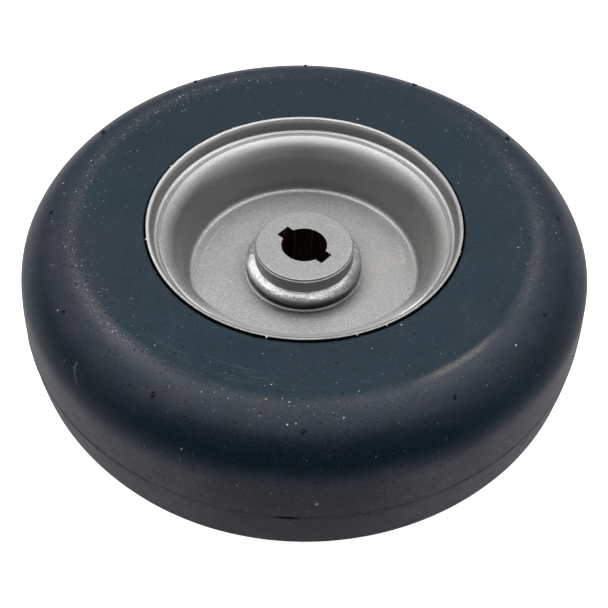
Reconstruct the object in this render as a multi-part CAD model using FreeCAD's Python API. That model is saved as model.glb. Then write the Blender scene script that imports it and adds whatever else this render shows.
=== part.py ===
import FreeCAD, Part
import math
import os

# Solid-tyred wheel with a keyed, welded-in hub.
# Millimetres.  +Z is the wheel axis, the origin is the wheel's centre: on the
# axis, in the middle plane between the two rim lips.

# ---------------------------------------------------------------- dimensions
RIM_WIDTH = 69.85            # lip plane to lip plane, 2.75 in
Z_LIP = RIM_WIDTH / 2.0
SHEET = 2.0                  # pressed steel sheet of each rim half

LIP_OUTER_R = 64.3           # lip turned true on its outside
LIP_INNER_R = 62.95
LIP_EDGE_ROUND = 0.45
LIP_WALL_FOOT_R = 61.75      # lip wall leans inwards down to the ledge
LEDGE_DEPTH = 5.6            # ledge below the lip plane
LEDGE_INNER_R = 59.75
LEDGE_STEP = 0.55            # small step down inside the ledge
SHOULDER_SLOPE = 18.0        # degrees, start of the rolled shoulder
SHOULDER_ROUND = 8.5
WALL_TOP_R = 52.2            # dish wall, 13.1 mm below the lip plane
WALL_TOP_DEPTH = 13.1
WALL_FOOT_R = 49.8           # dish wall, 26.7 mm below the lip plane
WALL_FOOT_DEPTH = 26.7
FLOOR_DEPTH = 29.8           # dish floor below the lip plane
FLOOR_ROUND = 2.7
FLOOR_HOLE_R = 20.85

HUB_LENGTH = 38.1            # 1.5 in
HUB_R = 20.8
HUB_CHAMFER_R = 0.6          # end chamfer, radial
HUB_CHAMFER_Z = 1.2          # end chamfer, axial
BORE_R = 9.525               # 3/4 in shaft
KEYWAY_WIDTH = 6.4           # 1/4 in key
KEYWAY_ACROSS = 24.6         # floor to floor over both keyways
KEYWAY_ANGLE = 139.0         # degrees from +X

BEAD_TOP = 7.3               # weld bead height on the hub above the dish floor
BEAD_BULGE_R = 24.1
BEAD_BULGE_Z = 2.3
BEAD_FOOT_R = 23.6

TYRE_R = 117.8               # crown radius, OD 235.6
CROWN_ROUND = 109.0          # section radius of the crown
SHOULDER_R_C = 92.0          # centre of the shoulder arc, radius from the axis
SHOULDER_Z_C = 11.7
SHOULDER_RAD = 25.0
SIDE_EDGE_R = 65.2           # mouth of the rubber round the lip
SIDE_EDGE_Z = 33.8
SIDE_EDGE_ROUND = 0.5
PARTING_RIDGE = 0.25         # height of the mould parting line on the crown
PARTING_HALF = 0.5


# ---------------------------------------------------------------- helpers
def v(r, z):
    return FreeCAD.Vector(r, 0.0, z)


def unit(a, b):
    dx, dz = b[0] - a[0], b[1] - a[1]
    n = math.hypot(dx, dz)
    return dx / n, dz / n


def offset_chain(pts, dist):
    """Shift an open chain of corner points sideways by dist (left of travel),
    keeping the legs parallel."""
    legs = []
    for a, b in zip(pts[:-1], pts[1:]):
        dx, dz = unit(a, b)
        nx, nz = -dz, dx
        legs.append(((a[0] + nx * dist, a[1] + nz * dist),
                     (b[0] + nx * dist, b[1] + nz * dist)))
    out = [legs[0][0]]
    for (a, b), (c, d) in zip(legs[:-1], legs[1:]):
        ux, uz = b[0] - a[0], b[1] - a[1]
        wx, wz = d[0] - c[0], d[1] - c[1]
        det = ux * wz - uz * wx
        s = ((c[0] - a[0]) * wz - (c[1] - a[1]) * wx) / det
        out.append((a[0] + ux * s, a[1] + uz * s))
    out.append(legs[-1][1])
    return out


def rounded_edges(pts, radii, closed=False):
    """Edges of a chain of corner points (r, z) with a round at each corner.
    radii[i] belongs to pts[i]; zero leaves a sharp corner."""
    n = len(pts)
    ins, outs, arcs = [], [], []
    for i in range(n):
        r = radii[i]
        if r <= 0 or (not closed and i in (0, n - 1)):
            ins.append(pts[i])
            outs.append(pts[i])
            arcs.append(None)
            continue
        p, a, b = pts[i], pts[i - 1], pts[(i + 1) % n]
        ua, ub = unit(p, a), unit(p, b)
        cosang = max(-1.0, min(1.0, ua[0] * ub[0] + ua[1] * ub[1]))
        half = math.acos(cosang) / 2.0
        t = r / math.tan(half)
        pa = (p[0] + ua[0] * t, p[1] + ua[1] * t)
        pb = (p[0] + ub[0] * t, p[1] + ub[1] * t)
        bx, bz = ua[0] + ub[0], ua[1] + ub[1]
        bn = math.hypot(bx, bz)
        d = r / math.sin(half)
        cx, cz = p[0] + bx / bn * d, p[1] + bz / bn * d
        mx, mz = cx - bx / bn * r, cz - bz / bn * r
        ins.append(pa)
        outs.append(pb)
        arcs.append((mx, mz))
    edges = []
    for i in range(n):
        if arcs[i] is not None:
            edges.append(Part.Arc(v(*ins[i]), v(*arcs[i]), v(*outs[i])).toShape())
        j = (i + 1) % n
        if j == 0 and not closed:
            break
        if math.hypot(outs[i][0] - ins[j][0], outs[i][1] - ins[j][1]) > 1e-6:
            edges.append(Part.makeLine(v(*outs[i]), v(*ins[j])))
    return edges


def turned(edges):
    """Solid of revolution about Z from the edges of a closed half section."""
    wire = Part.Wire(Part.__sortEdges__(edges))
    face = Part.Face(wire)
    solid = face.revolve(FreeCAD.Vector(0, 0, 0), FreeCAD.Vector(0, 0, 1), 360)
    if solid.ShapeType != "Solid":
        solid = solid.Solids[0]
    if solid.Volume < 0:
        solid = solid.reversed()
    return solid


def flipped(shape):
    """The same piece turned over onto the other side of the wheel."""
    return shape.mirror(FreeCAD.Vector(0, 0, 0), FreeCAD.Vector(0, 0, 1))


# ---------------------------------------------------------------- rim half
def slope_wall():
    return (WALL_TOP_R - WALL_FOOT_R) / (WALL_FOOT_DEPTH - WALL_TOP_DEPTH)


def wall_r(depth):
    return WALL_TOP_R - (depth - WALL_TOP_DEPTH) * slope_wall()


ZF = Z_LIP - FLOOR_DEPTH
STEP_R = LEDGE_INNER_R
STEP_DEPTH = LEDGE_DEPTH + 0.25 + LEDGE_STEP

# corner where the shoulder's flank meets the dish wall
_k = math.tan(math.radians(SHOULDER_SLOPE))
_s = slope_wall()
# depth = STEP_DEPTH + (STEP_R - r) * k ;  r = WALL_TOP_R - (depth - top) * s
SHOULDER_DEPTH = (STEP_DEPTH + _k * (STEP_R - WALL_TOP_R - WALL_TOP_DEPTH * _s)) / (1.0 - _k * _s)
SHOULDER_R = wall_r(SHOULDER_DEPTH)

# show side of the dish, from the lip down to the hub hole
FACE = [
    (LIP_INNER_R, Z_LIP),
    (LIP_WALL_FOOT_R, Z_LIP - LEDGE_DEPTH),
    (STEP_R, Z_LIP - LEDGE_DEPTH - 0.25),
    (STEP_R, Z_LIP - STEP_DEPTH),
    (SHOULDER_R, Z_LIP - SHOULDER_DEPTH),
    (wall_r(FLOOR_DEPTH), ZF),
    (FLOOR_HOLE_R, ZF),
]
FACE_ROUND = [0, 0.7, 0.2, 0.2, SHOULDER_ROUND, FLOOR_ROUND, 0]

# back of the sheet, one sheet thickness away, without the small step
BACK_LINE = [
    (LIP_INNER_R, Z_LIP),
    (LIP_WALL_FOOT_R, Z_LIP - LEDGE_DEPTH),
    (STEP_R + 0.9, Z_LIP - LEDGE_DEPTH - 0.30),
    (SHOULDER_R, Z_LIP - SHOULDER_DEPTH),
    (wall_r(FLOOR_DEPTH), ZF),
    (FLOOR_HOLE_R, ZF),
]
BACK = offset_chain(BACK_LINE, SHEET)
# the flange is turned to one diameter from the lip down
_a, _b = BACK[0], BACK[1]
_t = (LIP_OUTER_R - _a[0]) / (_b[0] - _a[0])
FLANGE_FOOT = (LIP_OUTER_R, _a[1] + (_b[1] - _a[1]) * _t)
BACK[0] = (LIP_OUTER_R, Z_LIP)
BACK.insert(1, FLANGE_FOOT)
BACK_ROUND = [0, 0, 0.7 + SHEET, 3.0, SHOULDER_ROUND - SHEET, FLOOR_ROUND + SHEET, 0]


def rim_half():
    pts = list(FACE) + list(reversed(BACK))
    rad = list(FACE_ROUND) + list(reversed(BACK_ROUND))
    rad[0] = LIP_EDGE_ROUND
    rad[-1] = LIP_EDGE_ROUND
    return turned(rounded_edges(pts, rad, closed=True))


# ---------------------------------------------------------------- hub
def hub():
    h = HUB_LENGTH / 2.0
    pts = [
        (BORE_R, -h), (HUB_R - HUB_CHAMFER_R, -h), (HUB_R, -h + HUB_CHAMFER_Z),
        (HUB_R, h - HUB_CHAMFER_Z), (HUB_R - HUB_CHAMFER_R, h), (BORE_R, h),
    ]
    body = turned(rounded_edges(pts, [0, 0.15, 0.3, 0.3, 0.15, 0], closed=True))
    slot = Part.makeBox(KEYWAY_ACROSS, KEYWAY_WIDTH, HUB_LENGTH + 4.0,
                        FreeCAD.Vector(-KEYWAY_ACROSS / 2.0, -KEYWAY_WIDTH / 2.0, -h - 2.0))
    slot.rotate(FreeCAD.Vector(0, 0, 0), FreeCAD.Vector(0, 0, 1), KEYWAY_ANGLE)
    body = body.cut(slot)
    return body.Solids[0] if body.Solids else body


# ---------------------------------------------------------------- weld bead
def weld_bead():
    z0 = ZF
    edges = [
        Part.makeLine(v(HUB_R, z0), v(HUB_R, z0 + BEAD_TOP)),
        Part.Arc(v(HUB_R, z0 + BEAD_TOP), v(23.15, z0 + 5.35), v(BEAD_BULGE_R, z0 + BEAD_BULGE_Z)).toShape(),
        Part.Arc(v(BEAD_BULGE_R, z0 + BEAD_BULGE_Z), v(24.0, z0 + 1.1), v(BEAD_FOOT_R, z0)).toShape(),
        Part.makeLine(v(BEAD_FOOT_R, z0), v(HUB_R, z0)),
    ]
    return turned(edges)


# ---------------------------------------------------------------- tyre
def tyre():
    # outside: parting ridge, crown arc, shoulder arc, side face up to the lip
    crown_c = TYRE_R - CROWN_ROUND
    # angle where the crown arc hands over to the shoulder arc
    ang = math.asin(SHOULDER_Z_C / (CROWN_ROUND - SHOULDER_RAD))
    crown_c = SHOULDER_R_C - (CROWN_ROUND - SHOULDER_RAD) * math.cos(ang)
    top_r = crown_c + CROWN_ROUND
    join = (SHOULDER_R_C + SHOULDER_RAD * math.cos(ang),
            SHOULDER_Z_C + SHOULDER_RAD * math.sin(ang))
    crest = (SHOULDER_R_C, SHOULDER_Z_C + SHOULDER_RAD)
    # side face leaves the shoulder arc tangentially towards the lip
    dx, dz = SIDE_EDGE_R - crest[0], SIDE_EDGE_Z - SHOULDER_Z_C
    dist = math.hypot(SIDE_EDGE_R - SHOULDER_R_C, dz)
    base = math.atan2(dz, SIDE_EDGE_R - SHOULDER_R_C)
    tan_ang = base - math.acos(SHOULDER_RAD / dist)
    tang = (SHOULDER_R_C + SHOULDER_RAD * math.cos(tan_ang),
            SHOULDER_Z_C + SHOULDER_RAD * math.sin(tan_ang))

    def on_crown(z):
        return crown_c + math.sqrt(CROWN_ROUND ** 2 - z * z)

    def on_shoulder(a):
        return (SHOULDER_R_C + SHOULDER_RAD * math.cos(a),
                SHOULDER_Z_C + SHOULDER_RAD * math.sin(a))

    p0 = (on_crown(PARTING_HALF), PARTING_HALF)
    mid_crown = (on_crown(join[1] * 0.5), join[1] * 0.5)
    a_mid = (ang + tan_ang) / 2.0

    def upper(sign):
        e = []
        s = lambda q: v(q[0], sign * q[1])
        e.append(Part.makeLine(v(top_r + PARTING_RIDGE, 0.0), s(p0)))
        e.append(Part.Arc(s(p0), s(mid_crown), s(join)).toShape())
        e.append(Part.Arc(s(join), s(on_shoulder(a_mid)), s(tang)).toShape())
        # mouth round, then down inside the rubber along the back of the rim
        chain = [tang, (SIDE_EDGE_R, SIDE_EDGE_Z), (SIDE_EDGE_R, FLANGE_FOOT[1])]
        # meets the turned flange where the sheet's back leaves it
        chain.append(FLANGE_FOOT)
        chain += BACK[2:5]
        # below the wall the rubber bore runs straight across to the other half
        foot = BACK[5]
        seat = (foot[0] + (BACK[4][0] - foot[0]) * 0.30, foot[1] + (BACK[4][1] - foot[1]) * 0.30)
        chain.append(seat)
        chain.append((seat[0], 0.0))
        rad = [0, SIDE_EDGE_ROUND, 0.3, 0, BACK_ROUND[2], BACK_ROUND[3], BACK_ROUND[4], 0, 0]
        ch = [(q[0], sign * q[1]) for q in chain]
        e += rounded_edges(ch, rad)
        return e

    return turned(upper(1.0) + upper(-1.0))


# ---------------------------------------------------------------- write
rim_upper = rim_half()
bead_upper = weld_bead()
PARTS = {
    "tyre": tyre(),
    "rim_half_upper": rim_upper,
    "rim_half_lower": flipped(rim_upper),
    "hub": hub(),
    "weld_bead_upper": bead_upper,
    "weld_bead_lower": flipped(bead_upper),
}

os.makedirs("parts", exist_ok=True)
for name, shape in PARTS.items():
    shape.exportStep("parts/" + name + ".step")
    bb = shape.BoundBox
    print(name, shape.ShapeType, shape.isValid(), round(shape.Volume, 1),
          [round(x, 3) for x in (bb.XMin, bb.YMin, bb.ZMin, bb.XMax, bb.YMax, bb.ZMax)])
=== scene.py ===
import math
import random

import bpy
import numpy as np
from mathutils import Matrix, Vector

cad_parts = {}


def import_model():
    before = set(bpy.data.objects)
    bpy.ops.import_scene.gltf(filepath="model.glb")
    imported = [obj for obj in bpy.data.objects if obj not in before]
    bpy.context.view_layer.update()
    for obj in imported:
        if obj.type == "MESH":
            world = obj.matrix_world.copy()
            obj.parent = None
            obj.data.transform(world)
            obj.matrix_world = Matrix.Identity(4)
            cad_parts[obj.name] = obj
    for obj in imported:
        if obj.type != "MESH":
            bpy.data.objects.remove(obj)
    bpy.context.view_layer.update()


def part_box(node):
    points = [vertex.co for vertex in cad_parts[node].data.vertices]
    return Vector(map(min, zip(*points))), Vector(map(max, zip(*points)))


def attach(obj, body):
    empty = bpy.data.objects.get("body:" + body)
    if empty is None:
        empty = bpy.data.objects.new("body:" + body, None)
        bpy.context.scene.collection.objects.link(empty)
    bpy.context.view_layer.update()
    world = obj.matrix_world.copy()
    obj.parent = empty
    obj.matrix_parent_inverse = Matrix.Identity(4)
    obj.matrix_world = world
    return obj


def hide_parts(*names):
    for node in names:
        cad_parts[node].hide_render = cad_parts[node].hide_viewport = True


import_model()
SCENE = bpy.context.scene
TAU = 2.0 * math.pi
MM = 0.001

# ------------------------------------------------------------------ sizes, mm
tyre_lo, tyre_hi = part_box("tyre")
hub_lo, hub_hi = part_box("hub")
rim_lo, rim_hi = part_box("rim_half_upper")
Z_LIP = rim_hi.z * 1000.0            # lip plane
HUB_H = hub_hi.z * 1000.0            # hub end face
SHEET = 2.0
LIP_OUT = rim_hi.x * 1000.0
LEDGE = 5.6
FLOOR = 29.8
ZF = Z_LIP - FLOOR
HUB_R = hub_hi.x * 1000.0
BORE_R = 9.525
KEY_W, KEY_ACROSS, KEY_ANG = 6.4, 24.6, math.radians(139.0)
CROWN, SH_R, SH_Z, SH_RAD = 109.0, 92.0, 11.7, 25.0
MOUTH_R, MOUTH_Z = 65.0, 34.2


# ------------------------------------------------------------------ helpers
def smooth_noise_ring(n, seed, octaves, amp):
    """Periodic 1-D noise over n azimuth steps: octaves are (waves, share)."""
    rng = np.random.RandomState(seed)
    t = np.arange(n) / n * TAU
    out = np.zeros(n)
    for waves, share in octaves:
        lo, hi = max(1, int(waves * 0.6)), int(waves * 1.4) + 1
        for k in range(lo, hi + 1):
            out += share * rng.randn() / math.sqrt(hi - lo + 1) * np.cos(k * t + rng.rand() * TAU)
    return out * amp


def value_noise2(n, m, cu, cv, seed, wrap=True):
    """Smooth 2-D noise on an n (periodic) by m grid with cu by cv cells."""
    rng = np.random.RandomState(seed)
    g = rng.uniform(-1, 1, (cu, cv + 2))
    u = np.arange(n) / n * cu
    v_ = np.linspace(0, cv, m)
    iu = np.floor(u).astype(int); fu = u - iu
    iv = np.minimum(np.floor(v_).astype(int), cv - 1); fv = v_ - iv
    fu = fu * fu * (3 - 2 * fu); fv = fv * fv * (3 - 2 * fv)
    a = g[iu % cu][:, iv]; b = g[(iu + 1) % cu][:, iv]
    c = g[iu % cu][:, iv + 1]; d = g[(iu + 1) % cu][:, iv + 1]
    fu = fu[:, None]; fv = fv[None, :]
    return (a * (1 - fu) + b * fu) * (1 - fv) + (c * (1 - fu) + d * fu) * fv


def mesh_object(name, verts_mm, faces, smooth=True):
    me = bpy.data.meshes.new(name)
    v_ = np.asarray(verts_mm, float) * MM
    f = np.asarray(faces, dtype=np.int32)
    me.vertices.add(len(v_))
    me.vertices.foreach_set("co", v_.astype(np.float32).ravel())
    k = f.shape[1]
    me.loops.add(len(f) * k)
    me.loops.foreach_set("vertex_index", f.ravel())
    me.polygons.add(len(f))
    me.polygons.foreach_set("loop_start", np.arange(len(f), dtype=np.int32) * k)
    me.update(calc_edges=True)
    me.validate()
    if smooth:
        me.polygons.foreach_set("use_smooth", np.ones(len(f), bool))
    ob = bpy.data.objects.new(name, me)
    SCENE.collection.objects.link(ob)
    return ob


def ring_grid(R, Z, TH):
    """R, Z, TH: (n, m) arrays, n round the axis (periodic), m along a closed
    section. Returns vertices and quads."""
    n, m = R.shape
    V = np.stack([R * np.cos(TH), R * np.sin(TH), Z], -1).reshape(-1, 3)
    i = np.arange(n)[:, None]; j = np.arange(m)[None, :]
    a = i * m + j; b = ((i + 1) % n) * m + j
    c = ((i + 1) % n) * m + (j + 1) % m; d = i * m + (j + 1) % m
    F = np.stack([a, b, c, d], -1).reshape(-1, 4)
    return V, F


def signed_area(p):
    x, y = p[:, 0], p[:, 1]
    return 0.5 * np.sum(x * np.roll(y, -1) - np.roll(x, -1) * y)


def sample_path(segs):
    """segs: list of point arrays, joined end to end, repeats dropped."""
    out = []
    for s in segs:
        for q in s:
            if not out or math.hypot(out[-1][0] - q[0], out[-1][1] - q[1]) > 1e-4:
                out.append((float(q[0]), float(q[1])))
    if math.hypot(out[0][0] - out[-1][0], out[0][1] - out[-1][1]) < 1e-4:
        out.pop()
    return np.array(out)


def line_pts(a, b, step):
    n = max(1, int(math.ceil(math.hypot(b[0] - a[0], b[1] - a[1]) / step)))
    t = np.linspace(0, 1, n + 1)[:, None]
    return np.array(a)[None] * (1 - t) + np.array(b)[None] * t


def arc_pts(c, r, a0, a1, step):
    n = max(2, int(math.ceil(abs(a1 - a0) * r / step)))
    t = np.linspace(a0, a1, n + 1)
    return np.stack([c[0] + r * np.cos(t), c[1] + r * np.sin(t)], 1)


def rounded(pts, radii, steps, arc_min=5):
    """Open chain of corners with rounds, sampled; steps is mm per leg."""
    P = [np.array(p, float) for p in pts]
    n = len(P)
    out = []
    prev = P[0]
    for i in range(1, n):
        end = P[i]
        r = radii[i] if i < n - 1 else 0
        st = steps[i - 1] if isinstance(steps, (list, tuple)) else steps
        if r > 0:
            ua = P[i - 1] - P[i]; ua /= np.linalg.norm(ua)
            ub = P[i + 1] - P[i]; ub /= np.linalg.norm(ub)
            half = math.acos(max(-1, min(1, float(ua @ ub)))) / 2
            t = r / math.tan(half)
            pa, pb = P[i] + ua * t, P[i] + ub * t
            bi = (ua + ub) / np.linalg.norm(ua + ub)
            c = P[i] + bi * (r / math.sin(half))
            out.append(line_pts(prev, pa, st))
            a0 = math.atan2(pa[1] - c[1], pa[0] - c[0]); a1 = math.atan2(pb[1] - c[1], pb[0] - c[0])
            da = (a1 - a0 + math.pi) % TAU - math.pi
            k = max(arc_min, int(abs(da) * r / max(st * 0.6, 0.05)))
            tt = a0 + da * np.linspace(0, 1, k + 1)
            out.append(np.stack([c[0] + r * np.cos(tt), c[1] + r * np.sin(tt)], 1))
            prev = pb
        else:
            out.append(line_pts(prev, end, st))
            prev = end
    return out


# ------------------------------------------------------------------ node tools
class Mat:
    def __init__(self, name):
        self.m = bpy.data.materials.new(name)
        self.m.use_nodes = True
        self.nt = self.m.node_tree
        self.nt.nodes.clear()
        self.out = self.nt.nodes.new("ShaderNodeOutputMaterial")
        self.bsdf = self.nt.nodes.new("ShaderNodeBsdfPrincipled")
        self.nt.links.new(self.bsdf.outputs[0], self.out.inputs[0])
        co = self.nt.nodes.new("ShaderNodeTexCoord")
        sc = self.nt.nodes.new("ShaderNodeVectorMath"); sc.operation = "SCALE"
        sc.inputs["Scale"].default_value = 1000.0
        self.nt.links.new(co.outputs["Object"], sc.inputs[0])
        self.mm = sc.outputs[0]                     # object position in mm
        sep = self.nt.nodes.new("ShaderNodeSeparateXYZ")
        self.nt.links.new(self.mm, sep.inputs[0])
        self.x, self.y, self.z = sep.outputs
        self.r = self.math("SQRT", self.math("ADD", self.math("MULTIPLY", self.x, self.x), self.math("MULTIPLY", self.y, self.y)))
        self.az = self.math("ARCTAN2", self.y, self.x)

    def put(self, sock, v):
        if isinstance(v, bpy.types.NodeSocket):
            self.nt.links.new(v, sock)
        else:
            sock.default_value = v

    def math(self, op, a, b=None, c=None, clamp=False):
        n = self.nt.nodes.new("ShaderNodeMath"); n.operation = op; n.use_clamp = clamp
        self.put(n.inputs[0], a)
        if b is not None: self.put(n.inputs[1], b)
        if c is not None: self.put(n.inputs[2], c)
        return n.outputs[0]

    def add(self, a, b): return self.math("ADD", a, b)
    def sub(self, a, b): return self.math("SUBTRACT", a, b)
    def mul(self, a, b): return self.math("MULTIPLY", a, b)

    def ramp(self, v, lo, hi, a=0.0, b=1.0, smooth=True):
        n = self.nt.nodes.new("ShaderNodeMapRange")
        n.interpolation_type = "SMOOTHSTEP" if smooth else "LINEAR"
        self.put(n.inputs["Value"], v)
        n.inputs["From Min"].default_value = lo; n.inputs["From Max"].default_value = hi
        n.inputs["To Min"].default_value = a; n.inputs["To Max"].default_value = b
        return n.outputs[0]

    def vscale(self, v, x, y, z):
        n = self.nt.nodes.new("ShaderNodeVectorMath"); n.operation = "MULTIPLY"
        self.nt.links.new(v, n.inputs[0]); n.inputs[1].default_value = (x, y, z)
        return n.outputs[0]

    def vadd(self, v, x, y, z):
        n = self.nt.nodes.new("ShaderNodeVectorMath"); n.operation = "ADD"
        self.nt.links.new(v, n.inputs[0]); n.inputs[1].default_value = (x, y, z)
        return n.outputs[0]

    def combine(self, x, y, z):
        n = self.nt.nodes.new("ShaderNodeCombineXYZ")
        self.put(n.inputs[0], x); self.put(n.inputs[1], y); self.put(n.inputs[2], z)
        return n.outputs[0]

    def noise(self, scale, detail=3.0, rough=0.5, vec=None, off=0.0, dist=0.0):
        n = self.nt.nodes.new("ShaderNodeTexNoise"); n.noise_dimensions = "3D"
        v = self.mm if vec is None else vec
        if off: v = self.vadd(v, off, off * 0.7, off * 1.3)
        self.nt.links.new(v, n.inputs["Vector"])
        n.inputs["Scale"].default_value = scale; n.inputs["Detail"].default_value = detail
        n.inputs["Roughness"].default_value = rough; n.inputs["Distortion"].default_value = dist
        return n.outputs["Fac"]

    def voronoi(self, scale, vec=None, off=0.0, feature="F1", rnd=1.0):
        n = self.nt.nodes.new("ShaderNodeTexVoronoi"); n.voronoi_dimensions = "3D"; n.feature = feature
        v = self.mm if vec is None else vec
        if off: v = self.vadd(v, off, off * 0.7, off * 1.3)
        self.nt.links.new(v, n.inputs["Vector"])
        n.inputs["Scale"].default_value = scale; n.inputs["Randomness"].default_value = rnd
        return n.outputs["Distance"], n.outputs["Color"]

    def mix(self, fac, a, b, mode="MIX"):
        n = self.nt.nodes.new("ShaderNodeMix"); n.data_type = "RGBA"; n.blend_type = mode
        self.put(n.inputs[0], fac)
        for s, v in ((n.inputs[6], a), (n.inputs[7], b)):
            if isinstance(v, bpy.types.NodeSocket): self.nt.links.new(v, s)
            else: s.default_value = tuple(v) + (1.0,) if len(v) == 3 else tuple(v)
        return n.outputs[2]

    def bump(self, height, strength, dist, prev=None):
        n = self.nt.nodes.new("ShaderNodeBump")
        n.inputs["Strength"].default_value = strength; n.inputs["Distance"].default_value = dist
        self.nt.links.new(height, n.inputs["Height"])
        if prev is not None: self.nt.links.new(prev, n.inputs["Normal"])
        return n.outputs[0]

    def specks(self, cell_mm, radius_mm, share, off=0.0, soft=0.35, mask=None):
        """Small round flecks: about share of the cells hold one; the radius varies."""
        d, col = self.voronoi(1.0 / cell_mm, off=off, rnd=1.0)
        sep = self.nt.nodes.new("ShaderNodeSeparateColor")
        self.nt.links.new(col, sep.inputs[0])
        pick = sep.outputs[0]; size = sep.outputs[1]
        thr = share if mask is None else self.mul(mask, share)
        on = self.math("LESS_THAN", pick, thr)
        rad = self.mul(self.math("MULTIPLY_ADD", self.mul(size, size), 0.75, 0.25), radius_mm / cell_mm)
        edge = self.math("DIVIDE", d, rad)
        body = self.ramp(edge, 1.0, 1.0 - soft, 0.0, 1.0)
        return self.mul(body, on), sep.outputs[2]

    def azdist(self, deg):
        """Angular distance in degrees from an azimuth, 0 to 180."""
        d = self.sub(self.math("DEGREES", self.az), float(deg))
        w = self.math("WRAP", d, 180.0, -180.0)
        return self.math("ABSOLUTE", w)

    def window(self, v, centre, half, soft):
        d = self.math("ABSOLUTE", self.sub(v, centre))
        return self.ramp(d, half + soft, half)


# ------------------------------------------------------------------ rubber
def rubber_material():
    m = Mat("rubber_side")
    r, z, az = m.r, m.z, m.az
    zt = m.math("ABSOLUTE", z)
    # clean bluish rubber, cloudy at three scales
    cloud = m.noise(0.028, 4.0, 0.55)
    mott = m.noise(0.11, 5.0, 0.65, off=31.0)
    fine = m.noise(0.62, 4.0, 0.7, off=5.0)
    base = m.mix(m.ramp(cloud, 0.35, 0.65), SIDE_A, SIDE_B)
    base = m.mix(m.ramp(mott, 0.44, 0.70, 0.0, 0.40), base, SIDE_DARK)
    tone = m.ramp(m.noise(0.016, 3.0, 0.5, off=301.0), 0.42, 0.62)
    tone = m.mul(tone, m.ramp(m.azdist(-158.0), 60.0, 20.0, 0.25, 1.0))
    base = m.mix(m.mul(tone, 0.75), base, (0.0190, 0.0225, 0.0370))
    # lilac grey bloom outside the crease, patchy
    wob = m.math("MULTIPLY_ADD", m.noise(0.045, 4.0, 0.55, off=77.0), 8.0, -4.0)
    rw = m.add(r, wob)
    zw = m.add(zt, m.mul(wob, 0.8))
    haze = m.mul(m.ramp(rw, 89.6, 92.6), m.ramp(zw, 25.0, 34.0))
    patch = m.ramp(mott, 0.26, 0.66, 1.0, 0.30)
    base = m.mix(m.mul(m.mul(haze, patch), 0.90), base, HAZE)
    crown = m.ramp(m.add(zt, m.mul(wob, 0.6)), 23.0, 14.0)
    nearside = m.ramp(m.azdist(-90.0), 84.0, 52.0)
    # painted shade: a dark band across the tyre's near side face
    band = m.mul(m.mul(m.ramp(zw, 34.5, 31.0), m.ramp(zw, 20.0, 25.0)), nearside)
    band = m.mul(band, m.ramp(m.azdist(-90.0), 42.0, 12.0, 0.42, 0.65))
    base = m.mix(band, base, (0.0022, 0.0062, 0.0110))
    # painted light: a paler crown on the tyre's near side
    base = m.mix(m.mul(m.mul(crown, nearside), m.ramp(mott, 0.25, 0.7, 1.0, 0.62)), base, CROWN_PAINTED_LIGHT)
    # painted shade: the crown darker straight in front
    front_crown_shade = m.mul(m.mul(crown, m.ramp(m.azdist(-90.0), 26.0, 8.0)), m.ramp(z, -14.0, 12.0, 0.42, 0.56))
    base = m.mix(front_crown_shade, base, (0.0060, 0.0070, 0.0090))
    # painted shade: the side face darker on the far side
    far = m.mul(m.ramp(m.azdist(108.0), 70.0, 30.0), m.ramp(r, 98.0, 92.0))
    base = m.mix(m.mul(far, 0.42), base, (0.0008, 0.0112, 0.0205))
    # painted shade: the right flank of the tyre darker below the side face
    right_flank_shade = m.mul(m.ramp(zt, 33.0, 22.0), m.ramp(m.azdist(0.0), 52.0, 12.0))
    base = m.mix(m.mul(right_flank_shade, 0.55), base, (0.0030, 0.0080, 0.0125))
    # dust lying along the crease
    crease = m.math("ABSOLUTE", m.sub(m.add(r, m.mul(wob, 0.35)), 93.3))
    ring = m.ramp(crease, 5.0, 0.0)
    ring_wide = m.ramp(m.math("ABSOLUTE", m.sub(m.add(r, m.mul(wob, 0.8)), 93.5)), 12.0, 2.0)
    top = m.ramp(z, 24.0, 30.0)
    left = m.ramp(m.azdist(158.0), 80.0, 45.0)
    left_low = m.ramp(m.azdist(-139.0), 24.0, 5.0)
    right_low = m.ramp(m.azdist(-52.5), 16.0, 3.0)
    right = m.ramp(m.azdist(6.0), 42.0, 12.0)
    low = m.ramp(m.azdist(-92.0), 46.0, 14.0)
    dusty = m.ramp(m.noise(0.9, 5.0, 0.75, off=25.0), 0.40, 0.66)
    grit = m.ramp(m.noise(2.2, 3.0, 0.7, off=15.0), 0.44, 0.60)
    streak_r = m.ramp(m.math("ABSOLUTE", m.sub(m.add(r, m.mul(wob, 0.10)), 93.4)), 2.2, 0.0)
    tan = m.mul(m.mul(m.mul(right_low, streak_r), top), m.math("MULTIPLY_ADD", m.mul(dusty, grit), 0.7, 0.3))
    base = m.mix(m.mul(tan, 0.88), base, (0.290, 0.270, 0.225))
    tail = m.mul(m.mul(m.mul(m.ramp(m.azdist(-14.0), 26.0, 8.0), m.ramp(m.math("ABSOLUTE", m.sub(m.add(r, m.mul(wob, 0.25)), 93.8)), 4.2, 0.5)), top), m.math("MULTIPLY_ADD", dusty, 0.5, 0.5))
    base = m.mix(m.mul(tail, 0.42), base, (0.085, 0.083, 0.100))
    low_l = m.mul(m.mul(m.mul(left_low, ring), top), m.math("MULTIPLY_ADD", dusty, 0.75, 0.25))
    base = m.mix(m.mul(low_l, 0.60), base, (0.130, 0.126, 0.132))
    veil = m.mul(m.mul(m.mul(m.math("MAXIMUM", m.math("MAXIMUM", left, m.mul(right, 0.6)), m.mul(low, 0.45)), ring), top), dusty)
    base = m.mix(m.mul(veil, 0.40), base, (0.115, 0.117, 0.123))
    # fine mottle, as of a slightly porous skin
    base = m.mix(m.ramp(fine, 0.50, 0.72, 0.0, 0.55), base, SIDE_DARK)
    base = m.mix(m.ramp(m.noise(1.35, 3.0, 0.75, off=295.0), 0.48, 0.66, 0.0, 0.50), base, SIDE_DARK)
    base = m.mix(m.ramp(m.noise(1.7, 2.0, 0.7, off=95.0), 0.52, 0.70, 0.0, 0.34), base, (0.048, 0.056, 0.068))
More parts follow.
